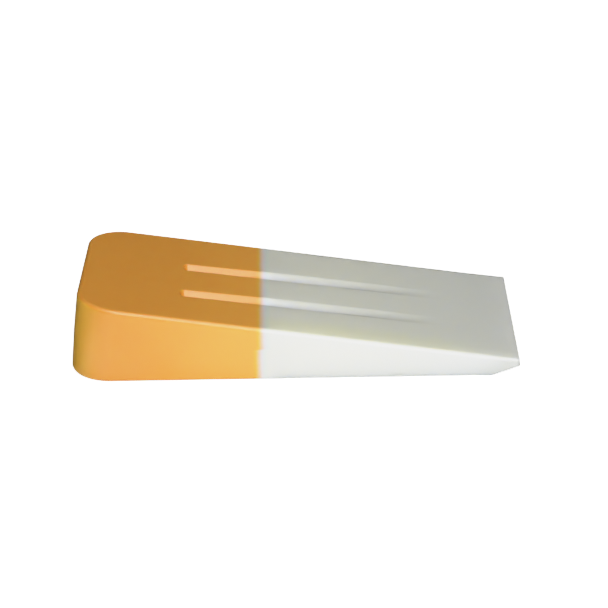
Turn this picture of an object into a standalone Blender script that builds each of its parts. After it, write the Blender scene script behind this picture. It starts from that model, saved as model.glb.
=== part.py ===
"""Slim two-colour plastic wedge chock.

A long, flat, natural white wedge whose thick half is covered by an orange head. The head lies over a spigot
of the body: its skin is flush with the body, and round posts of the head pass through the spigot and tie
the upper skin to the lower one. Two round-bottomed grooves run along the sloping top face, from the head out
over the body. They keep their width, and their floors rise almost to the surface before the tip.

Frame: origin at the middle of the footprint on the ground, +X towards the thin tip, +Z up, metres.
Heights are measured from the ground, and "from head" lengths from the lowest line of the head end.
"""

import math

import bmesh
import bpy

# ---- overall size ----
LENGTH = 0.140
WIDTH = 0.066
HEAD_HEIGHT = 0.026  # where the planes of the top and of the head end meet
TIP_TOP_HEIGHT = 0.0055  # the top plane at the tip
TIP_THICKNESS = 0.0021
TIP_BEVEL_LENGTH = 0.0086  # the underside rises over this length
HEAD_SET_BACK = 0.0029  # how far the head end leans back at the top
HEAD_SET_BACK_MID = 0.0012  # and at half height, so the end face is slightly bowed

HEAD_X = -LENGTH / 2
TIP_BEVEL_START = LENGTH - TIP_BEVEL_LENGTH
TOP_SLOPE = (HEAD_HEIGHT - TIP_TOP_HEIGHT) / (LENGTH - HEAD_SET_BACK)

# ---- corners and edges ----
HEAD_CORNER_RADIUS = 0.0132  # the two upright corners at the head, seen from above
TIP_CORNER_RADIUS = 0.0007
EDGE_RADIUS = 0.0014  # the edges round the top and the underside
TIP_TOP_EDGE_RADIUS = 0.0005  # the edges shrink to these at the tip
TIP_LOW_EDGE_RADIUS = 0.0003
EDGE_FADE = 0.014  # the length over which they shrink
EDGE_FADE_START = LENGTH - EDGE_FADE
SHARP_ANGLE = math.radians(35)  # edges steeper than this are shaded sharp

HEAD_CORNER_STEPS = 16
TIP_CORNER_STEPS = 4
EDGE_STEPS = 5
SIDE_STEPS = 5  # along each side, from the head corner to the start of the fade
LEAN_PASSES = 6  # repeats that settle a point's height and its place on the leaning end

# ---- grooves in the top face ----
GROOVE_Y = (0.0093, -0.0115)  # centre lines, half way along the chock
GROOVE_START = 0.0344  # from head, the blunt end
GROOVE_END = 0.1155  # from head, where the floor has all but reached the surface
GROOVE_DEPTH = 0.0025  # at the blunt end
GROOVE_HALF_WIDTH = 0.0029
GROOVE_RADIUS = (GROOVE_HALF_WIDTH**2 + GROOVE_DEPTH**2) / (2 * GROOVE_DEPTH)
GROOVE_LIP = 0.00005  # the lips are cut this deep, upright, all the way along
GROOVE_CLEARANCE = 0.002  # the cutters stand this far above the top face
GROOVE_END_SHARE = 0.02  # share of the full depth left at the far end
NOSE_LENGTH = 0.0016  # of the blunt end's rounding
NOSE_FIRST_ANGLE = 8  # degrees round the nose, where its first section lies

GROOVE_STEPS = 14  # across the floor
NOSE_SECTIONS = 6
GROOVE_RUN_STEPS = 4  # along the groove beyond the nose

# ---- the joint between head and body ----
JOINT_FROM_HEAD = 0.0595  # on the centre line
SKEW = math.tan(math.radians(1.2))  # turn of the joint and the grooves, seen from above
GAP = 0.0003  # free space between the two solids
SIDE_BLOCK_MARGIN = 0.02  # how far the blocks that part head from body reach past the ends
SIDE_BLOCK_Z = (-0.02, 0.05)

SKIN = 0.0030  # thickness of the head's skin over the spigot
END_WALL = 0.0080  # thickness of the head behind its end face
SPIGOT_OVERLAP = 0.006  # how far the spigot and its hollow run past the joint
SPIGOT_CORNER_STEPS = 8

POSTS = ((0.0200, 0.0150), (0.0200, -0.0150), (0.0400, -0.0032))  # (from head, y) of each
POST_RADIUS = 0.0042
POST_STEPS = 32
POST_SINK_LOW = 0.0012  # how far the posts reach into the lower skin
POST_SINK_TOP = 0.0010  # and into the upper skin
HOLE_Z = (-0.005, 0.035)  # the hole cutters pass right through


# ---- faces of the wedge ----
def top_z(from_head):
    """Height of the sloping top plane."""
    return HEAD_HEIGHT - TOP_SLOPE * (from_head - HEAD_SET_BACK)


def bottom_z(from_head):
    """Height of the underside, which is flat and then rises to the tip."""
    rise = TIP_TOP_HEIGHT - TIP_THICKNESS
    return max(0.0, (from_head - TIP_BEVEL_START) / TIP_BEVEL_LENGTH * rise)


def set_back(z):
    """How far the head end stands back at this height: two straight lines that meet at half height."""
    half = HEAD_HEIGHT / 2
    if z < half:
        return HEAD_SET_BACK_MID * max(0.0, z - EDGE_RADIUS) / (half - EDGE_RADIUS)
    return HEAD_SET_BACK_MID + (HEAD_SET_BACK - HEAD_SET_BACK_MID) * (z - half) / half


def lean(from_head, z):
    """Move a place along the chock for the lean of the head end, which fades out towards the tip."""
    return from_head + (1 - from_head / LENGTH) * set_back(z)


def edge_radius(from_head, on_top):
    share = min(1.0, max(0.0, (from_head - EDGE_FADE_START) / EDGE_FADE))
    tip_radius = TIP_TOP_EDGE_RADIUS if on_top else TIP_LOW_EDGE_RADIUS
    return EDGE_RADIUS + (tip_radius - EDGE_RADIUS) * share


# ---- outlines and rings ----
def arc(centre_x, centre_y, radius, start, steps):
    """A quarter circle from the start angle in degrees, as (x, y, normal x, normal y)."""
    points = []
    for i in range(steps + 1):
        angle = math.radians(start + 90 * i / steps)
        cos, sin = math.cos(angle), math.sin(angle)
        points.append((centre_x + radius * cos, centre_y + radius * sin, cos, sin))
    return points


def head_corners(end_x, half_width, radius, steps):
    """The rounded +Y and -Y corners of an outline whose head end is at end_x."""
    return arc(end_x + radius, half_width - radius, radius, 90, steps) + arc(
        end_x + radius, -half_width + radius, radius, 180, steps
    )


def plan_outline():
    """The outline from above, as (from head, y, normal x, normal y).

    It runs anticlockwise from the tip's +Y corner.
    """
    half = WIDTH / 2
    side_length = EDGE_FADE_START - HEAD_CORNER_RADIUS
    along = [HEAD_CORNER_RADIUS + side_length * i / SIDE_STEPS for i in range(1, SIDE_STEPS)]
    along += [EDGE_FADE_START, TIP_BEVEL_START]
    tip_x = LENGTH - TIP_CORNER_RADIUS
    tip_y = half - TIP_CORNER_RADIUS
    return [
        *arc(tip_x, tip_y, TIP_CORNER_RADIUS, 0, TIP_CORNER_STEPS),
        *((x, half, 0.0, 1.0) for x in reversed(along)),
        *head_corners(0.0, half, HEAD_CORNER_RADIUS, HEAD_CORNER_STEPS),
        *((x, -half, 0.0, -1.0) for x in along),
        *arc(tip_x, -tip_y, TIP_CORNER_RADIUS, 270, TIP_CORNER_STEPS),
    ]


def ring_point(outline_point, inset, rise, on_top):
    """An outline point pulled in by inset and away from a face by rise, in local edge radii."""
    x, y, normal_x, normal_y = outline_point
    radius = edge_radius(x, on_top)
    x -= normal_x * inset * radius
    y -= normal_y * inset * radius
    # The head end leans, so the point's place depends on its height, and the height on its place.
    place = x
    for _ in range(LEAN_PASSES):
        z = top_z(place) - rise * radius if on_top else bottom_z(place) + rise * radius
        place = lean(x, z)
    return HEAD_X + place, y, z


def wedge_rings():
    """Rings of points from the edge of the underside, up the walls, to the edge of the top face."""
    outline = plan_outline()
    lower, upper = [], []
    for i in range(EDGE_STEPS + 1):
        angle = math.pi / 2 * i / EDGE_STEPS
        from_sin, from_cos = 1 - math.sin(angle), 1 - math.cos(angle)
        lower.append([ring_point(point, from_sin, from_cos, False) for point in outline])
        upper.append([ring_point(point, from_cos, from_sin, True) for point in outline])
    middle = []
    for low, high, (x, y, _, _) in zip(lower[-1], upper[0], outline):
        z = (low[2] + high[2]) / 2
        middle.append((HEAD_X + lean(x, z), y, z))
    return [*lower, middle, *upper]


# ---- meshes and objects ----
def mesh_object(name, bm):
    bmesh.ops.recalc_face_normals(bm, faces=bm.faces)
    mesh = bpy.data.meshes.new(name)
    bm.to_mesh(mesh)
    bm.free()
    obj = bpy.data.objects.new(name, mesh)
    bpy.context.scene.collection.objects.link(obj)
    return obj


def cutter_object(name, bm):
    """A helper solid for the booleans, kept out of renders."""
    obj = mesh_object(name, bm)
    obj.hide_render = True
    obj.display_type = "WIRE"
    return obj


def loft(rings):
    """A bmesh of side faces between rings of points, still open at the ends, and its vertex rings."""
    bm = bmesh.new()
    loops = [[bm.verts.new(point) for point in ring] for ring in rings]
    for low, high in zip(loops, loops[1:]):
        for i in range(len(low)):
            j = (i + 1) % len(low)
            bm.faces.new((low[i], low[j], high[j], high[i]))
    return bm, loops


def capped_loft(rings):
    bm, loops = loft(rings)
    bm.faces.new(loops[0])
    bm.faces.new(loops[-1])
    return bm


def wedge_shape(name, material):
    """The whole outer form of the chock, with all its edges rounded."""
    bm, loops = loft(wedge_rings())
    bm.faces.new(loops[-1])
    # The underside is two planes that meet across the width where the rise begins.
    fold_x = HEAD_X + TIP_BEVEL_START
    bottom = loops[0]
    first, last = [i for i, vert in enumerate(bottom) if abs(vert.co.x - fold_x) < 1e-6]
    bm.faces.new(bottom[first : last + 1])
    bm.faces.new(bottom[last:] + bottom[: first + 1])
    obj = mesh_object(name, bm)
    obj.data.materials.append(material)
    obj.data.shade_smooth()
    obj.data.set_sharp_from_angle(angle=SHARP_ANGLE)
    return obj


def side_block(name, far_x, shift):
    """A block from far_x to the joint plane, which is shifted along X."""

    def joint_x(y):
        return HEAD_X + JOINT_FROM_HEAD - SKEW * y + shift

    reach = WIDTH  # twice the half width, so well clear of both sides
    outline = [(far_x, -reach), (joint_x(-reach), -reach), (joint_x(reach), reach), (far_x, reach)]
    return cutter_object(name, capped_loft([[(x, y, z) for x, y in outline] for z in SIDE_BLOCK_Z]))


def spigot_shape(name, inset, end):
    """The stepped-down core of the body inside the head, or the hollow for it."""
    half = WIDTH / 2 - inset
    tail_x = HEAD_X + JOINT_FROM_HEAD + SPIGOT_OVERLAP
    corners = head_corners(HEAD_X + end, half, HEAD_CORNER_RADIUS - inset, SPIGOT_CORNER_STEPS)
    outline = [(tail_x, -half), (tail_x, half)] + [(x, y) for x, y, _, _ in corners]
    low = [(x, y, inset) for x, y in outline]
    high = [(x, y, top_z(x - HEAD_X) - inset) for x, y in outline]
    return cutter_object(name, capped_loft([low, high]))


def round_post(name, from_head, y, radius, low, high):
    """An upright cylinder, for a keying post or the hole that it fills."""
    bm = bmesh.new()
    bmesh.ops.create_cone(
        bm,
        cap_ends=True,
        cap_tris=False,
        segments=POST_STEPS,
        radius1=radius,
        radius2=radius,
        depth=high - low,
    )
    bmesh.ops.translate(bm, verts=bm.verts, vec=(HEAD_X + from_head, y, (low + high) / 2))
    return cutter_object(name, bm)


def groove_sections():
    """Sections along a groove, as (from head, share of width, nose offset, share of depth).

    The nose offset is how far the section lies from the nose's centre, as a share of its length.
    """
    nose = GROOVE_START + NOSE_LENGTH
    sections = []
    for i in range(NOSE_SECTIONS):
        turn = (90 - NOSE_FIRST_ANGLE) * i / (NOSE_SECTIONS - 1)
        angle = math.radians(NOSE_FIRST_ANGLE + turn)
        cos = math.cos(angle)
        sections.append((nose - NOSE_LENGTH * cos, math.sin(angle), cos, 1.0))
    for i in range(1, GROOVE_RUN_STEPS + 1):
        from_head = nose + (GROOVE_END - nose) * i / GROOVE_RUN_STEPS
        sections.append((from_head, 1.0, 0.0, max(GROOVE_END_SHARE, 1 - i / GROOVE_RUN_STEPS)))
    return sections


def bowl(away):
    """Depth of the groove's arc, as a share of full depth, at this share of the half width."""
    height = math.sqrt(GROOVE_RADIUS**2 - (GROOVE_HALF_WIDTH * away) ** 2)
    return (height - (GROOVE_RADIUS - GROOVE_DEPTH)) / GROOVE_DEPTH


def groove_cutter(name, centre_y):
    """A round-bottomed bar, blunt at the head, flattened more and more towards its far end."""
    rings = []
    for from_head, spread, nose_offset, depth_share in groove_sections():
        profile = []  # (across, up) from the centre line on the top plane
        for i in range(GROOVE_STEPS + 1):
            side = 2 * i / GROOVE_STEPS - 1
            away = min(1.0, math.hypot(spread * side, nose_offset))
            drop = GROOVE_LIP + GROOVE_DEPTH * depth_share * bowl(away)
            profile.append((side * spread * GROOVE_HALF_WIDTH, -drop))
        half = spread * GROOVE_HALF_WIDTH
        profile += [(half, GROOVE_CLEARANCE), (-half, GROOVE_CLEARANCE)]
        x = HEAD_X + from_head
        middle_y = centre_y + SKEW * (from_head - LENGTH / 2)
        rings.append([(x, middle_y + across, top_z(from_head) + up) for across, up in profile])
    bm = capped_loft(rings)
    bmesh.ops.triangulate(bm, faces=bm.faces)
    return cutter_object(name, bm)


def boolean(obj, operation, other):
    modifier = obj.modifiers.new(other.name, "BOOLEAN")
    modifier.operation = operation
    modifier.solver = "EXACT"
    modifier.object = other


def plastic(name, colour, roughness):
    material = bpy.data.materials.new(name)
    material.use_nodes = True
    shader = material.node_tree.nodes["Principled BSDF"]
    shader.inputs["Base Color"].default_value = (*colour, 1.0)
    shader.inputs["Roughness"].default_value = roughness
    shader.inputs["Metallic"].default_value = 0.0
    material.diffuse_color = (*colour, 1.0)
    return material


# ---- the two pieces ----
def build_body(material, grooves):
    """Everything on the tip side of the joint and the spigot, less the keying holes and grooves."""
    body = wedge_shape("wedge_body", material)
    boolean(body, "INTERSECT", side_block("body_side", -HEAD_X + SIDE_BLOCK_MARGIN, shift=GAP))
    boolean(body, "UNION", spigot_shape("spigot", SKIN + GAP, END_WALL + GAP))
    for i, (from_head, y) in enumerate(POSTS, 1):
        hole = round_post(f"keying_hole_{i}", from_head, y, POST_RADIUS + GAP, *HOLE_Z)
        boolean(body, "DIFFERENCE", hole)
    for cutter in grooves:
        boolean(body, "DIFFERENCE", cutter)


def build_head(material, grooves):
    """Everything on the other side, less the spigot's hollow, with posts through the spigot's holes."""
    head = wedge_shape("head_cap", material)
    boolean(head, "INTERSECT", side_block("head_side", HEAD_X - SIDE_BLOCK_MARGIN, shift=0.0))
    boolean(head, "DIFFERENCE", spigot_shape("spigot_hollow", SKIN, END_WALL))
    for i, (from_head, y) in enumerate(POSTS, 1):
        low = SKIN - POST_SINK_LOW
        high = top_z(from_head) - SKIN + POST_SINK_TOP
        post = round_post(f"keying_post_{i}", from_head, y, POST_RADIUS, low, high)
        boolean(head, "UNION", post)
    for cutter in grooves:
        boolean(head, "DIFFERENCE", cutter)


def main():
    for obj in list(bpy.data.objects):
        bpy.data.objects.remove(obj, do_unlink=True)

    white = plastic("natural_white_plastic", colour=(0.80, 0.81, 0.77), roughness=0.45)
    orange = plastic("orange_plastic", colour=(0.86, 0.40, 0.08), roughness=0.45)
    grooves = [groove_cutter(f"groove_cutter_{i}", y) for i, y in enumerate(GROOVE_Y, 1)]
    build_body(white, grooves)
    build_head(orange, grooves)


main()
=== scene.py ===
"""A slim two-colour plastic wedge chock: an orange head moulding and a white body, on a pale floor.

Frame: origin at the middle of the footprint, +X towards the thin tip, +Z up, metres. The lens looks
along +Y, so -Y is the front. Shapes are worked out in millimetres with x measured from the head end,
and to_frame() turns them into the frame.
"""

import math
from types import SimpleNamespace

import bmesh
import bpy
import numpy as np
from mathutils import Matrix, Vector


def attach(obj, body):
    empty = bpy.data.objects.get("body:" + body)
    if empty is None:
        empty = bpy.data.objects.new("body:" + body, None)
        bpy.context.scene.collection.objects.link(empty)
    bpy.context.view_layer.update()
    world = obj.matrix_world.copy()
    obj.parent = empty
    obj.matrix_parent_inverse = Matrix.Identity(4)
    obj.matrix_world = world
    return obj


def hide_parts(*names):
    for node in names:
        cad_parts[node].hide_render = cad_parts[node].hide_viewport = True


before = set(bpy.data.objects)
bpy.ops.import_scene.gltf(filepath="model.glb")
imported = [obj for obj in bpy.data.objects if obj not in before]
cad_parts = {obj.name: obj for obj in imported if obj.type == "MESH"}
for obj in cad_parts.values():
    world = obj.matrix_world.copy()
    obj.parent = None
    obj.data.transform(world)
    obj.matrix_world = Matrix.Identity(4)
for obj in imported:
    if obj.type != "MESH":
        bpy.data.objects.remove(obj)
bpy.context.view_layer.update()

MM = 0.001

# ---- sizes, mm -----------------------------------------------------------------------------------
LENGTH, WIDTH = 140.0, 66.0
HEAD_HEIGHT = 26.0
TIP_TOP_HEIGHT = 5.5
TIP_THICKNESS = 2.1
TIP_LEAN, TIP_LEAN_LENGTH = 0.25, 2.0  # the tip's end face leans out this much at its lower edge
TIP_BEVEL_LENGTH = 8.6
TIP_RISE = TIP_TOP_HEIGHT - TIP_THICKNESS  # how far the underside rises over the bevel
FOLD_X = LENGTH - TIP_BEVEL_LENGTH
FOLD_SOFT, FOLD_DROP = 0.05, 0.02  # rounding of the fold, and the share of it taken off the height
HEAD_SET_BACK, HEAD_SET_BACK_MID = 2.9, 1.2  # lean of the end wall, at the top and half way up
HEAD_CORNER_R, TIP_CORNER_R = 13.2, 0.7
EDGE_R = 1.4
TIP_HIGH_R, TIP_END_R, TIP_LOW_R = 0.9, 0.35, 0.3  # edge radii at the tip: top, end, underside
EDGE_FADE = 14.0  # length over which the edge radii change to the tip's

SKEW = 0.0209  # colour edge and grooves are turned by 1.2 degrees, seen from above
GROOVE_Y = (9.3, -11.5)  # half way along the wedge
GROOVE_START, GROOVE_END = 34.35, 115.5
GROOVE_NOSE = 1.3
GROOVE_DEPTH, GROOVE_RUN_SOFT = 2.8, 0.01
GROOVE_EXTRA, GROOVE_EXTRA_LENGTH = 0.2, 28.0  # a little deeper still near the start
GROOVE_HALF, GROOVE_HALF_SHALLOW = 2.65, 3.25  # the lips open as the groove gets shallow
GROOVE_OPENING = (38.0, 37.0)  # start and length of that opening
GROOVE_LIP_POWER = 1.4
BOW_START, BOW_END = 0.3, 0.45  # both ends of a groove bow this far towards -Y
BOW_END_RUN = (92.0, 16.0)  # start and length of the bow at the tip end

JOINT_X = 59.5
JOINT_REACH = 4.5  # how far from the joint the rows of points follow the colour edge
JOG_Z, JOG_STEP, JOG_SOFT = 10.4, 1.0, 0.9  # a small step in the colour edge, low on the sides
SEAM = 0.01  # free space between the two mouldings at the skin

SKIN, END_WALL = 3.0, 8.0
GAP = 0.3  # between the spigot and the hollow it sits in
CORE_OVERRUN = 6.0  # how far spigot and hollow reach past the joint
POST_R, POST_LENGTH, POST_MID_Z = 4.2, 40.0, 15.0
POSTS = ((20.0, 15.0), (20.0, -15.0), (40.0, -3.2))

TOP_SLOPE = (HEAD_HEIGHT - TIP_TOP_HEIGHT) / (LENGTH - HEAD_SET_BACK)

# ---- spacing of the skin's points ----------------------------------------------------------------
HEAD_CORNER_STEPS, TIP_CORNER_STEPS = 22, 7
EDGE_STEPS, WALL_STEPS = 8, 18
# Along the straight side: (end of the run, step), from the head corner on.
SIDE_RUNS = (
    (30.0, 1.5), (37.5, 0.25), (52.0, 1.0), (JOINT_X, 0.75), (67.0, 0.75), (100.0, 1.1), (120.0, 0.8),
    (FOLD_X - 1.0, 1.3), (FOLD_X + 1.0, 0.2), (LENGTH - TIP_CORNER_R, 0.7),
)  # fmt: skip
GROOVE_BAND, RIM_BAND = 4.6, 0.6  # finely spaced strips across the width
SETTLE_PASSES = 8
EDGE_SHARE_GAIN = 11.0  # brings edge_share to about 1 in the middle of a rounded edge
SHARP_ANGLE = math.radians(42)


def to_frame(x, y, z):
    return ((x - LENGTH / 2) * MM, y * MM, z * MM)


# ---- the wedge's surfaces ------------------------------------------------------------------------
def top_z(x):
    return HEAD_HEIGHT - TOP_SLOPE * (x - HEAD_SET_BACK)


def bottom_z(x):
    rise = (x - FOLD_X) / TIP_BEVEL_LENGTH * TIP_RISE
    return 0.5 * (rise + np.sqrt(rise * rise + FOLD_SOFT * FOLD_SOFT)) - FOLD_SOFT * FOLD_DROP


def set_back(z):
    half = HEAD_HEIGHT / 2
    low = HEAD_SET_BACK_MID * np.clip((z - EDGE_R) / (half - EDGE_R), 0, 1)
    high = (HEAD_SET_BACK - HEAD_SET_BACK_MID) * np.clip((z - half) / half, 0, None)
    return low + high


def smooth(share):
    share = np.clip(share, 0, 1)
    return share * share * (3 - 2 * share)


def smooth_run(x, start, length):
    return smooth((x - start) / length)


def joint_x(y, z):
    """Where the colour edge runs, by place across the width and by height."""
    return JOINT_X - SKEW * y - JOG_STEP * smooth((JOG_Z - z) / JOG_SOFT + 0.5)


def groove_depth(x, y):
    """How far the two round-bottomed, soft-lipped grooves sink below the top plane here."""
    nose = GROOVE_START + GROOVE_NOSE
    depth = (GROOVE_END - x) / (GROOVE_END - nose) * GROOVE_DEPTH
    depth = np.minimum(0.5 * (depth + np.sqrt(depth * depth + GROOVE_RUN_SOFT)), GROOVE_DEPTH)
    near_start = 1 - smooth_run(x, GROOVE_START, GROOVE_EXTRA_LENGTH)
    depth += GROOVE_EXTRA * near_start
    half = GROOVE_HALF + (GROOVE_HALF_SHALLOW - GROOVE_HALF) * smooth_run(x, *GROOVE_OPENING)
    bow = BOW_START * near_start + BOW_END * smooth_run(x, *BOW_END_RUN)
    total = np.zeros(np.broadcast(x, y).shape)
    for centre in GROOVE_Y:
        across = (y - centre - SKEW * (x - LENGTH / 2) + bow) / half
        away = np.hypot(across, np.minimum(x - nose, 0) / GROOVE_NOSE)
        total += depth * (1 - np.minimum(away, 1) ** 2) ** GROOVE_LIP_POWER
    return total


# ---- the lattice of points over the skin ---------------------------------------------------------
def spaced(start, runs):
    """Evenly spaced points over a chain of (stop, step) runs, without the last stop."""
    points = []
    for stop, step in runs:
        count = max(1, int(round((stop - start) / step)))
        points += list(np.linspace(start, stop, count + 1)[:-1])
        start = stop
    return points


def corner(radius, degrees):
    """Outline rows round a plan corner at the head end."""
    return [
        (radius * (1 - math.cos(a)), WIDTH / 2 - radius * (1 - math.sin(a)), -math.cos(a), math.sin(a))
        for a in np.radians(degrees)
    ]


def stations():
    """Rows across the wedge, head to tip: (outline x, half width, outline normal x, normal y)."""
    rows = corner(HEAD_CORNER_R, np.linspace(0, 90, HEAD_CORNER_STEPS + 1)[:-1])
    rows += [(x, WIDTH / 2, 0.0, 1.0) for x in spaced(HEAD_CORNER_R, SIDE_RUNS)]
    tip = corner(TIP_CORNER_R, np.linspace(90, 0, TIP_CORNER_STEPS + 1))
    rows += [(LENGTH - x, y, -normal_x, normal_y) for x, y, normal_x, normal_y in tip]
    return np.array(rows)


def columns():
    """Places across the width, as shares of the flat top's half width."""
    half = WIDTH / 2 - EDGE_R
    low, high = sorted(GROOVE_Y)
    runs = (
        (-half + RIM_BAND, 0.3),
        (low - GROOVE_BAND, 2.0),
        (low + GROOVE_BAND, 0.2),
        (high - GROOVE_BAND, 1.6),
        (high + GROOVE_BAND, 0.2),
        (half - RIM_BAND, 2.0),
        (half, 0.3),
    )
    return np.array(spaced(-half, runs) + [half]) / half


LOW, WALL, HIGH = 0, 1, 2


def rings():
    """Rings from the underside's edge to the top's: (kind, inset share, rise or wall share)."""
    turns = [math.pi / 2 * i / EDGE_STEPS for i in range(EDGE_STEPS + 1)]
    rows = [(LOW, 1 - math.sin(turn), 1 - math.cos(turn)) for turn in turns]
    rows += [(WALL, 0.0, i / WALL_STEPS) for i in range(1, WALL_STEPS)]
    rows += [(HIGH, 1 - math.cos(turn), 1 - math.sin(turn)) for turn in turns]
    return np.array(rows)


ROWS, COLS, RINGS = stations(), columns(), rings()
JOINT_ROW = int(np.argmin(abs(ROWS[:, 0] - JOINT_X)))


def lattice():
    """All points in the frame as an array [row, column, ring, xyz], and the groove depth at each."""
    outline_x, outline_y, normal_x, normal_y = ROWS.T[:, :, None, None]
    kind, inset, share = RINGS.T[:, None, None, :]
    fade = np.clip((outline_x - (LENGTH - EDGE_FADE)) / EDGE_FADE, 0, 1)
    round_tip = TIP_END_R * normal_x**2 + TIP_HIGH_R * normal_y**2
    tip_r = np.where(normal_x > 0, round_tip, TIP_HIGH_R)
    top_r = EDGE_R + (tip_r - EDGE_R) * fade
    low_r = EDGE_R + (TIP_LOW_R - EDGE_R) * fade
    radius = np.where(kind == LOW, low_r, top_r)
    flat_x = outline_x - normal_x * inset * radius
    y = COLS[None, :, None] * (outline_y - normal_y * inset * radius)
    pull = np.exp(-(((flat_x - JOINT_X) / JOINT_REACH) ** 2))
    # Height depends on x and the lean in x on height, so the two are settled in turns.
    x = flat_x
    for _ in range(SETTLE_PASSES):
        low, high = bottom_z(x), top_z(x)
        wall_z = (low + low_r) * (1 - share) + (high - top_r) * share
        z = np.where(kind == LOW, low + share * radius, high - share * radius)
        z = np.where(kind == WALL, wall_z, z)
        lean = (1 - flat_x / LENGTH) * set_back(z)
        to_joint = joint_x(y, z) - (JOINT_X + (1 - JOINT_X / LENGTH) * set_back(z))
        x = flat_x + lean + pull * to_joint
    near_end = np.clip((x - LENGTH + TIP_LEAN_LENGTH) / TIP_LEAN_LENGTH, 0, 1)
    x += TIP_LEAN * near_end * np.clip((top_z(x) - z) / TIP_THICKNESS, 0, 1)
    sunk = groove_depth(x, y)
    # Rings below the top's skin close the cut ends, so they sink in proportion.
    z -= sunk * np.clip((z - bottom_z(x)) / (top_z(x) - bottom_z(x)), 0, 1)
    return np.stack(to_frame(x, y, z), axis=-1), sunk


POINTS, SUNK = lattice()


def add_object(name, mesh):
    obj = bpy.data.objects.new(name, mesh)
    bpy.context.scene.collection.objects.link(obj)
    return obj


def shell(name, first, last, shift):
    """A closed skin over the lattice rows first to last, its cut end moved by shift mm along X."""
    last_col, last_ring = len(COLS) - 1, len(RINGS) - 1
    index, verts, faces = {}, [], []

    def vert(*key):
        if key not in index:
            index[key] = len(verts)
            point = POINTS[key].copy()
            if key[0] == JOINT_ROW:
                point[0] += shift * MM
            verts.append(point)
        return index[key]

    def sheet(u_range, v_range, at, flip):
        for u in range(*u_range):
            for v in range(*v_range):
                around = ((u, v), (u + 1, v), (u + 1, v + 1), (u, v + 1))
                quad = [vert(*at(*place)) for place in around]
                faces.append(quad[::-1] if flip else quad)

    rows, cols, steps = (first, last), (0, last_col), (0, last_ring)
    sheet(rows, cols, lambda u, v: (u, v, last_ring), False)
    sheet(rows, cols, lambda u, v: (u, v, 0), True)
    sheet(rows, steps, lambda u, v: (u, 0, v), False)
    sheet(rows, steps, lambda u, v: (u, last_col, v), True)
    sheet(cols, steps, lambda u, v: (first, u, v), True)
    sheet(cols, steps, lambda u, v: (last, u, v), False)
    mesh = bpy.data.meshes.new(name)
    mesh.from_pydata([tuple(point) for point in verts], [], faces)
    mesh.validate()

    # What the materials read: how rounded the edge is here, and how deep the groove is.
    edge_share = np.zeros(len(verts), np.float32)
    groove_share = np.zeros(len(verts), np.float32)
    for (row, col, ring), at in index.items():
        if ring == last_ring:
            groove_share[at] = SUNK[row, col, ring] / GROOVE_DEPTH
        if row in (0, len(ROWS) - 1) or col in (0, last_col):
            edge_share[at] = min(1.0, RINGS[ring, 1] * RINGS[ring, 2] * EDGE_SHARE_GAIN)
    for label, values in (("edge_share", edge_share), ("groove_share", groove_share)):
        mesh.attributes.new(label, "FLOAT", "POINT").data.foreach_set("value", values)
    return add_object(name, mesh)


# ---- what is hidden inside: spigot, hollow, posts ------------------------------------------------
def solid(name, bm):
    bmesh.ops.recalc_face_normals(bm, faces=bm.faces)
    mesh = bpy.data.meshes.new(name)
    bm.to_mesh(mesh)
    bm.free()
    return add_object(name, mesh)


def core(name, inset, end):
    """An upright block with rounded head corners, inset from the skin, from x = end past the joint."""
    half, radius, tail = WIDTH / 2 - inset, HEAD_CORNER_R - inset, JOINT_X + CORE_OVERRUN
    outline = [(tail, -half), (tail, half)]
    for start, centre_y in ((90, half - radius), (180, -half + radius)):
        for a in np.radians(np.linspace(start, start + 90, 15)):
            outline.append((end + radius + radius * math.cos(a), centre_y + radius * math.sin(a)))
    bm = bmesh.new()
    low = [bm.verts.new(to_frame(x, y, inset)) for x, y in outline]
    high = [bm.verts.new(to_frame(x, y, top_z(x) - inset)) for x, y in outline]
    for i in range(len(outline)):
        j = (i + 1) % len(outline)
        bm.faces.new((low[i], low[j], high[j], high[i]))
    bm.faces.new(low)
    bm.faces.new(high)
    return solid(name, bm)


def post(name, x, y, radius):
    bm = bmesh.new()
    size = {"radius1": radius * MM, "radius2": radius * MM, "depth": POST_LENGTH * MM}
    bmesh.ops.create_cone(bm, cap_ends=True, segments=48, **size)
    bmesh.ops.translate(bm, verts=bm.verts, vec=to_frame(x, y, POST_MID_Z))
    return solid(name, bm)


def boolean(obj, operation, others):
    """Cut the others from obj, or join them to it, and remove them."""
    for other in others:
        modifier = obj.modifiers.new(other.name, "BOOLEAN")
        modifier.operation = operation
        modifier.solver = "EXACT"
        modifier.object = other
    bpy.context.view_layer.update()
    graph = bpy.context.evaluated_depsgraph_get()
    made = bpy.data.meshes.new_from_object(
        obj.evaluated_get(graph), preserve_all_data_layers=True, depsgraph=graph
    )
    old = obj.data
    obj.modifiers.clear()
    obj.data = made
    made.name = obj.name
    bpy.data.meshes.remove(old)
    for other in others:
        bpy.data.objects.remove(other, do_unlink=True)


def drilled_core(name, post_name, gap):
    """The core block, gap smaller all round, with a hole at each post."""
    block = core(name, SKIN + gap, END_WALL + gap)
    holes = [post(f"{post_name}_{i}", x, y, POST_R + gap) for i, (x, y) in enumerate(POSTS)]
    boolean(block, "DIFFERENCE", holes)
    return block


head = shell("orange_head", 0, JOINT_ROW, 0.0)
body = shell("white_body", JOINT_ROW, len(ROWS) - 1, SEAM)

boolean(head, "DIFFERENCE", [drilled_core("hollow", "post", 0.0)])
boolean(body, "UNION", [drilled_core("spigot", "hole", GAP)])

for piece in (head, body):
    piece.data.shade_smooth()
    piece.data.set_sharp_from_angle(angle=SHARP_ANGLE)


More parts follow.
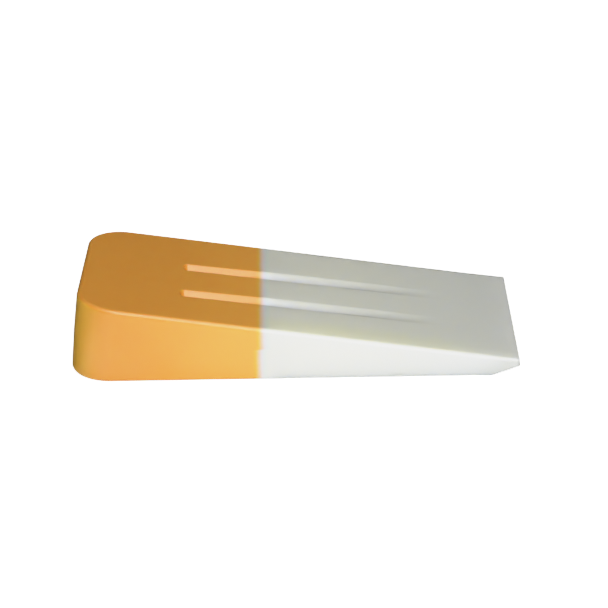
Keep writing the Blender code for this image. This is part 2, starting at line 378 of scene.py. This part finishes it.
# ---- materials -----------------------------------------------------------------------------------
class Nodes:
    """A short way to write a node tree."""

    def __init__(self, tree):
        self.tree = tree

    def feed(self, node, inputs):
        for key, value in inputs.items():
            socket = node.inputs[key]
            if isinstance(value, bpy.types.NodeSocket):
                self.tree.links.new(value, socket)
            else:
                socket.default_value = value

    def add(self, kind, inputs=None, **settings):
        node = self.tree.nodes.new(kind)
        for key, value in settings.items():
            setattr(node, key, value)
        self.feed(node, inputs or {})
        return node

    def math(self, operation, a, b=0.0, c=0.0):
        return self.add("ShaderNodeMath", {0: a, 1: b, 2: c}, operation=operation).outputs[0]

    def plus(self, a, b):
        return self.math("ADD", a, b)

    def minus(self, a, b):
        return self.math("SUBTRACT", a, b)

    def times(self, a, b):
        return self.math("MULTIPLY", a, b)

    def times_plus(self, value, by, plus):
        return self.math("MULTIPLY_ADD", value, by, plus)

    def gain(self, share, by):
        """A factor that is 1 where share is 0 and 1 + by where it is 1."""
        return self.times_plus(share, by, 1.0)

    def ramp(self, value, over, to=(0.0, 1.0)):
        """A smooth change between the two values of to, while value crosses over."""
        inputs = {"Value": value, "From Min": over[0], "From Max": over[1]}
        inputs |= {"To Min": to[0], "To Max": to[1]}
        return self.add("ShaderNodeMapRange", inputs, interpolation_type="SMOOTHSTEP").outputs[0]

    def mix(self, factor, a, b):
        # Sockets 6, 7 and output 2 are the mix node's colour ones.
        return self.add("ShaderNodeMix", {0: factor, 6: a, 7: b}, data_type="RGBA").outputs[2]

    def tint(self, colour, by):
        return self.add("ShaderNodeVectorMath", {0: colour, 1: by}, operation="MULTIPLY").outputs[0]

    def split(self, vector):
        return self.add("ShaderNodeSeparateXYZ", {0: vector}).outputs

    def channels(self, colour):
        return self.add("ShaderNodeSeparateColor", {0: colour}).outputs

    def factors(self, green=1.0, blue=1.0):
        return self.add("ShaderNodeCombineXYZ", {0: 1.0, 1: green, 2: blue}).outputs[0]

    def colour(self, red, green, blue):
        return self.add("ShaderNodeCombineColor", {0: red, 1: green, 2: blue}).outputs[0]

    def attribute(self, name):
        return self.add("ShaderNodeAttribute", attribute_name=name).outputs["Fac"]

    def noise(self, vector, scale, detail=3.0, rough=0.55):
        inputs = {"Vector": vector, "Scale": scale, "Detail": detail, "Roughness": rough}
        return self.add("ShaderNodeTexNoise", inputs).outputs[0]


DOWN = (1.0, 0.0)  # a ramp that falls instead of rising

ORANGE = (0.83, 0.365, 0.050, 1.0)
ORANGE_DEEP = (0.81, 0.342, 0.044, 1.0)
ORANGE_PAINTED_LIGHT = (0.88, 0.415, 0.064, 1.0)  # painted light: the orange is paler towards the joint, where the light falls stronger
WHITE = (0.795, 0.808, 0.735, 1.0)
WHITE_WARM = (0.790, 0.800, 0.712, 1.0)
WHITE_PAINTED_SHADE = (0.745, 0.765, 0.725, 1.0)  # painted shade: the white is darker towards the tip


def skin_places(nodes):
    """Where on the skin we are: x, y, z in mm, the normal, and how far past the colour edge."""
    where = nodes.add("ShaderNodeTexCoord").outputs["Object"]
    axes = nodes.split(where)
    x = nodes.times_plus(axes[0], by=1000.0, plus=LENGTH / 2)
    y = nodes.times(axes[1], 1000.0)
    z = nodes.times(axes[2], 1000.0)
    normal = nodes.split(nodes.add("ShaderNodeNewGeometry").outputs["Normal"])
    side = nodes.ramp(normal[2], over=(0.3, 0.7), to=DOWN)

    # Signed distance from the colour edge, in mm, wandering by up to a quarter of a millimetre.
    jog = nodes.ramp(z, over=(JOG_Z - JOG_SOFT / 2, JOG_Z + JOG_SOFT / 2), to=(JOG_STEP, 0.0))
    edge_x = nodes.minus(JOINT_X, nodes.plus(nodes.times(y, SKEW), jog))
    wander = nodes.times(nodes.minus(nodes.noise(where, scale=420.0, detail=2.0), 0.5), 0.5)
    past = nodes.plus(nodes.minus(x, edge_x), wander)
    return SimpleNamespace(where=where, x=x, y=y, z=z, normal=normal, side=side, past=past)


def two_colours(nodes, at):
    """Orange on one side of the colour edge and white on the other, with drifts in the melt."""
    stretch = {"Vector": at.where, "Scale": (0.35, 1.0, 1.0)}
    stretched = nodes.add("ShaderNodeMapping", stretch).outputs[0]
    drift = nodes.ramp(nodes.noise(stretched, scale=38.0), over=(0.3, 0.7))
    orange = nodes.mix(nodes.times(drift, 0.5), ORANGE, ORANGE_DEEP)
    # Painted light: the head turns paler towards the joint.
    pale = nodes.times(nodes.ramp(at.x, over=(22.0, 58.0)), 0.9)
    orange = nodes.mix(pale, orange, ORANGE_PAINTED_LIGHT)
    white = nodes.mix(nodes.times(drift, 0.5), WHITE, WHITE_WARM)
    # Painted shade: the white darkens towards the tip.
    white = nodes.mix(nodes.ramp(at.x, over=(75.0, 138.0)), white, WHITE_PAINTED_SHADE)

    # Blue changes over a narrower band than red and green, and red dips just past the edge.
    bleed = nodes.ramp(at.past, over=(-2.2, 2.5))
    bleed_blue = nodes.ramp(at.past, over=(-1.1, 1.3))
    halo_rise = nodes.ramp(at.past, over=(0.0, 1.3))
    halo = nodes.times(halo_rise, nodes.ramp(at.past, over=(1.6, 3.4), to=DOWN))
    wide = nodes.channels(nodes.mix(bleed, orange, white))
    narrow = nodes.channels(nodes.mix(bleed_blue, orange, white))
    red = nodes.times(wide[0], nodes.gain(halo, by=-0.07))
    colour = nodes.colour(red, wide[1], narrow[2])

    # Painted light: upright skin that faces the head end is tinted yellower, most of all on the front
    # corner.
    endward = nodes.ramp(at.normal[0], over=(-0.95, -0.1), to=DOWN)
    end_light_tint = nodes.times(endward, nodes.ramp(at.normal[2], over=(0.5, 0.95), to=DOWN))
    end_light_tint = nodes.times(end_light_tint, nodes.ramp(at.normal[1], over=(-0.2, 0.1), to=(1.0, 0.4)))
    return nodes.tint(colour, nodes.factors(green=nodes.gain(end_light_tint, by=0.29)))


def head_tones(nodes, at, colour, tone):
    """Painted shade: the flat side is a little deeper in tone where the rounded corner ends."""
    rise = nodes.ramp(at.x, over=(5.0, 12.0))
    painted_side_shade = nodes.times(rise, nodes.ramp(at.x, over=(14.0, 32.0), to=DOWN))
    return colour, nodes.times(tone, nodes.gain(nodes.times(at.side, painted_side_shade), by=-0.07))


def body_tones(nodes, at, colour, tone):
    """Painted light and shade: a painted bluish reflection in the grooves and on the sides, painted
    warm light along the top's front edge, painted shade on the sides towards the tip.
    """
    groove_reflection = nodes.ramp(nodes.attribute("groove_share"), over=(0.02, 0.5))
    # Painted light: the top's front edge is made warmer, with less blue.
    front = nodes.ramp(at.y, over=(-28.0, -20.0), to=DOWN)
    front_edge_glow = nodes.times(front, nodes.ramp(at.normal[2], over=(0.8, 0.95)))
    front_edge_glow = nodes.times(front_edge_glow, nodes.ramp(at.x, over=(112.0, 132.0), to=(1.0, 0.2)))
    blue = nodes.gain(front_edge_glow, by=-0.08)
    # Painted reflection: the sides are a little bluer.
    blue = nodes.times_plus(at.side, by=0.03, plus=blue)
    # Painted reflection: the grooves are bluer, as if they mirrored the bluish panel.
    blue = nodes.times_plus(groove_reflection, by=0.10, plus=blue)
    colour = nodes.tint(colour, nodes.factors(blue=blue))
    # Painted shade: the sides are greyer where the wedge thins out to the tip.
    tip_side_shade = nodes.times(at.side, nodes.ramp(at.x, over=(125.0, 139.5)))
    return colour, nodes.times(tone, nodes.gain(tip_side_shade, by=-0.17))


def painted_edge_shade(nodes, at, low_scuff):
    """Painted shade on the lower edge, strongly at the tip and by low_scuff along the rest, and on the
    tip's end edge.
    """
    bevel_z = nodes.times(nodes.minus(at.x, FOLD_X), TIP_RISE / TIP_BEVEL_LENGTH)
    above = nodes.minus(at.z, nodes.math("MAXIMUM", bevel_z, 0.0))
    low_edge = nodes.ramp(above, over=(0.0, 1.0), to=DOWN)
    strength = nodes.ramp(at.x, over=(112.0, 132.0), to=(low_scuff, 0.55))
    low_edge = nodes.times(low_edge, strength)
    end_edge = nodes.ramp(at.x, over=(LENGTH - 0.9, LENGTH - 0.1), to=(0.0, 0.55))
    upright = nodes.ramp(at.normal[2], over=(0.5, 0.8), to=DOWN)
    return nodes.times(nodes.math("MAXIMUM", low_edge, end_edge), upright)


def satin(nodes, where):
    """Roughness and normal of an even mould texture, a little smoother on the rounded edges."""
    fine = nodes.noise(where, scale=1500.0, detail=4.0, rough=0.6)
    broad = nodes.noise(where, scale=210.0, rough=0.5)
    uneven = nodes.times(nodes.minus(broad, 0.5), 0.16)
    rubbed = nodes.times(nodes.attribute("edge_share"), 0.05)
    rough = nodes.minus(nodes.plus(0.36, uneven), rubbed)
    height = nodes.plus(nodes.times(fine, 0.55), nodes.times(broad, 0.9))
    relief = {"Height": height, "Strength": 0.22, "Distance": 0.00003}
    return rough, nodes.add("ShaderNodeBump", relief).outputs[0]


def plastic(name, look):
    material = bpy.data.materials.new(name)
    material.use_nodes = True
    nodes = Nodes(material.node_tree)
    at = skin_places(nodes)
    colour = two_colours(nodes, at)
    # A fine speckle of 3 percent.
    speckle = nodes.noise(at.where, scale=2600.0, detail=2.0, rough=0.6)
    tone = nodes.plus(0.985, nodes.times(speckle, 0.03))
    colour, tone = look.tones(nodes, at, colour, tone)
    # Painted shade along the lower edges and the tip's end edge.
    tone = nodes.times(tone, nodes.gain(painted_edge_shade(nodes, at, look.low_scuff), by=-0.5))
    # Painted shade: the skin is deeper in tone where it turns away from the eye.
    turned = nodes.add("ShaderNodeLayerWeight", {"Blend": 0.5}).outputs["Facing"]
    tone = nodes.times(tone, nodes.ramp(turned, over=(0.74, 1.0), to=(1.0, look.turned_tone)))
    rough, normal = satin(nodes, at.where)
    # Light wanders less where the two mouldings meet.
    from_joint = nodes.math("ABSOLUTE", at.past)
    reach = nodes.ramp(from_joint, over=(0.0, 6.0), to=(0.0004, look.reach))
    inputs = {
        "Base Color": nodes.tint(colour, tone),
        "Roughness": rough,
        "Normal": normal,
        "IOR": 1.47,
        "Subsurface Weight": look.scatter,
        "Subsurface Radius": look.scatter_radius,
        "Subsurface Scale": reach,
    }
    nodes.feed(material.node_tree.nodes["Principled BSDF"], inputs)
    return material


# reach is the subsurface scale, in metres, away from the joint.
HEAD_LOOK = SimpleNamespace(
    tones=head_tones, low_scuff=0.17, turned_tone=0.5,
    scatter=0.5, scatter_radius=(1.0, 0.75, 0.35), reach=0.0011,
)  # fmt: skip
BODY_LOOK = SimpleNamespace(
    tones=body_tones, low_scuff=0.05, turned_tone=0.74,
    scatter=1.0, scatter_radius=(1.0, 0.94, 0.78), reach=0.012,
)  # fmt: skip

for piece, name, look in (
    (head, "orange_plastic_skin", HEAD_LOOK),
    (body, "white_plastic_skin", BODY_LOOK),
):
    piece.data.materials.clear()
    piece.data.materials.append(plastic(name, look))

for piece, node, slot in (
    (head, "head_cap", "orange_plastic"),
    (body, "wedge_body", "white_plastic"),
):
    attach(piece, "root")
    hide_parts(node)


# ---- floor, light, camera; metres ----------------------------------------------------------------
FLOOR_HALF, FLOOR_DROP = 6.0, 0.00005


def pale_floor():
    """Bright to the lens, with its own glow for the skin to mirror and to be lit by."""
    material = bpy.data.materials.new("pale_floor")
    material.use_nodes = True
    material.node_tree.nodes.clear()
    nodes = Nodes(material.node_tree)
    path = nodes.add("ShaderNodeLightPath").outputs
    grey = nodes.times_plus(path["Is Glossy Ray"], by=-0.9, plus=0.9)
    colour = nodes.colour(grey, grey, grey)
    diffuse = nodes.add("ShaderNodeBsdfDiffuse", {"Color": colour}).outputs[0]
    # The skin mirrors a bright floor in front of the wedge and a dim one left of and behind it.
    at = nodes.split(nodes.add("ShaderNodeNewGeometry").outputs["Position"])
    front = nodes.ramp(at[1], over=(-0.05, -0.02), to=DOWN)
    ahead = nodes.times(front, nodes.ramp(at[0], over=(-0.16, -0.06)))
    mirror_power = nodes.times_plus(ahead, by=3.0, plus=0.03)
    mirrored = nodes.times(path["Is Glossy Ray"], mirror_power)
    power = nodes.plus(nodes.times(path["Is Camera Ray"], 1.3), mirrored)
    # Under and right beside the wedge the floor is in its shade.
    beside_x = nodes.minus(nodes.math("ABSOLUTE", at[0]), LENGTH / 2 * MM)
    beside_y = nodes.minus(nodes.math("ABSOLUTE", at[1]), WIDTH / 2 * MM)
    beside = nodes.math("MAXIMUM", beside_x, beside_y)
    lit = nodes.ramp(beside, over=(0.0, 0.03), to=(0.05, 0.30))
    power = nodes.plus(power, nodes.times(path["Is Diffuse Ray"], lit))
    light = {"Color": (1.0, 1.0, 1.0, 1.0), "Strength": power}
    glow = nodes.add("ShaderNodeEmission", light).outputs[0]
    total = nodes.add("ShaderNodeAddShader", {0: diffuse, 1: glow}).outputs[0]
    nodes.add("ShaderNodeOutputMaterial", {0: total})
    return material


def floor():
    mesh = bpy.data.meshes.new("floor")
    signs = ((-1, -1), (1, -1), (1, 1), (-1, 1))
    corners = [(x * FLOOR_HALF, y * FLOOR_HALF, 0) for x, y in signs]
    mesh.from_pydata(corners, [], [(0, 1, 2, 3)])
    obj = add_object("floor", mesh)
    obj.location.z = -FLOOR_DROP
    mesh.materials.append(pale_floor())


def studio():
    """A room that is white to the lens, dim round the wedge, brighter overhead and in front."""
    world = bpy.data.worlds.new("studio")
    bpy.context.scene.world = world
    world.use_nodes = True
    world.node_tree.nodes.clear()
    nodes = Nodes(world.node_tree)
    way = nodes.split(nodes.add("ShaderNodeTexCoord").outputs["Generated"])
    overhead = nodes.times(nodes.ramp(way[2], over=(0.35, 0.95)), 0.35)
    front = nodes.times(nodes.ramp(nodes.times(way[1], -1.0), over=(0.1, 0.95)), 0.11)
    power = nodes.plus(0.055, nodes.plus(overhead, front))

    def background(colour, strength):
        inputs = {"Color": colour, "Strength": strength}
        return nodes.add("ShaderNodeBackground", inputs).outputs[0]

    dim = background((1.0, 0.985, 0.90, 1.0), power)
    pale = background((1.0, 1.0, 1.0, 1.0), 1.6)
    lens = nodes.add("ShaderNodeLightPath").outputs["Is Camera Ray"]
    seen = nodes.add("ShaderNodeMixShader", {0: lens, 1: dim, 2: pale}).outputs[0]
    nodes.add("ShaderNodeOutputWorld", {0: seen})


def soft_light(name, turn, lift, distance, size, power, colour=(1, 1, 1), gloss_only=False):
    """A panel aimed at the wedge; turn is in degrees from -Y towards +X, lift above the floor."""
    turn, lift = math.radians(turn), math.radians(lift)
    at = Vector((
        math.sin(turn) * math.cos(lift) * distance,
        -math.cos(turn) * math.cos(lift) * distance,
        math.sin(lift) * distance,
    ))
    data = bpy.data.lights.new(name, "AREA")
    data.shape = "RECTANGLE"
    data.size, data.size_y = size
    data.energy = power
    data.color = colour
    obj = add_object(name, data)
    obj.location = at
    obj.rotation_mode = "QUATERNION"
    obj.rotation_quaternion = (Vector((0.0, 0.0, 0.01)) - at).to_track_quat("-Z", "Y")
    if gloss_only:
        obj.visible_diffuse = obj.visible_transmission = False


# The camera's pose: angles in degrees, then mm from the aim point above the origin.
YAW, ELEVATION, ROLL = (math.radians(angle) for angle in (-0.689, 23.801, -1.247))
DISTANCE, OFFSET_RIGHT, OFFSET_UP = 735.7, -3.373, -0.515
AIM_Z = 0.4 * HEAD_HEIGHT
SENSOR, LENS = 36.0, 135.32904
LENS_SHIFT = 0.00082236842  # share of the sensor's width


def add_camera():
    level = math.cos(ELEVATION)
    ahead = Vector((math.sin(YAW) * level, math.cos(YAW) * level, -math.sin(ELEVATION)))
    right = Vector((math.cos(YAW), -math.sin(YAW), 0.0))
    up = right.cross(ahead)
    rolled_right = math.cos(ROLL) * right + math.sin(ROLL) * up
    rolled_up = -math.sin(ROLL) * right + math.cos(ROLL) * up
    offset = rolled_right * OFFSET_RIGHT + rolled_up * OFFSET_UP + ahead * DISTANCE
    eye = Vector((0.0, 0.0, AIM_Z)) - offset
    data = bpy.data.cameras.new("camera")
    data.sensor_width = SENSOR
    data.lens = LENS
    data.shift_x, data.shift_y = -LENS_SHIFT, LENS_SHIFT
    data.clip_start, data.clip_end = 0.01, 100.0
    camera = add_object("camera", data)
    turn = Matrix((rolled_right, rolled_up, -ahead)).transposed()
    camera.matrix_world = Matrix.Translation(eye * MM) @ turn.to_4x4()
    bpy.context.scene.camera = camera


# Tone curve points (scene light, shown light), between black and full white at 1.5.
SHOULDER = ((0.3, 0.3), (0.6, 0.6), (0.8, 0.785), (0.9, 0.832), (1.0, 0.858), (1.2, 0.893))


def tone_curve():
    """A soft shoulder, as a small camera has: light tones flatten out below white."""
    view = bpy.context.scene.view_settings
    view.view_transform = "Standard"
    view.look = "None"
    view.use_curve_mapping = True
    mapping = view.curve_mapping
    mapping.clip_max_x = mapping.clip_max_y = 2.0
    mapping.extend = "EXTRAPOLATED"
    points = mapping.curves[3].points
    points[0].location = (0.0, 0.0)
    points[1].location = (1.5, 1.0)
    for seen, shown in SHOULDER:
        points.new(seen, shown)
    mapping.update()


studio()
floor()
# A softbox, just above and to the right of the lens.
soft_light("key", turn=14.0, lift=32.0, distance=1.05, size=(0.56, 0.44), power=8.5)
# A pale panel high in front: the grooves' far walls and the front rounded edge mirror it.
soft_light(
    "panel", turn=0.0, lift=66.0, distance=0.9, size=(0.5, 0.5), power=4.9,
    colour=(0.95, 1.0, 1.1), gloss_only=True,
)  # fmt: skip
add_camera()
tone_curve()
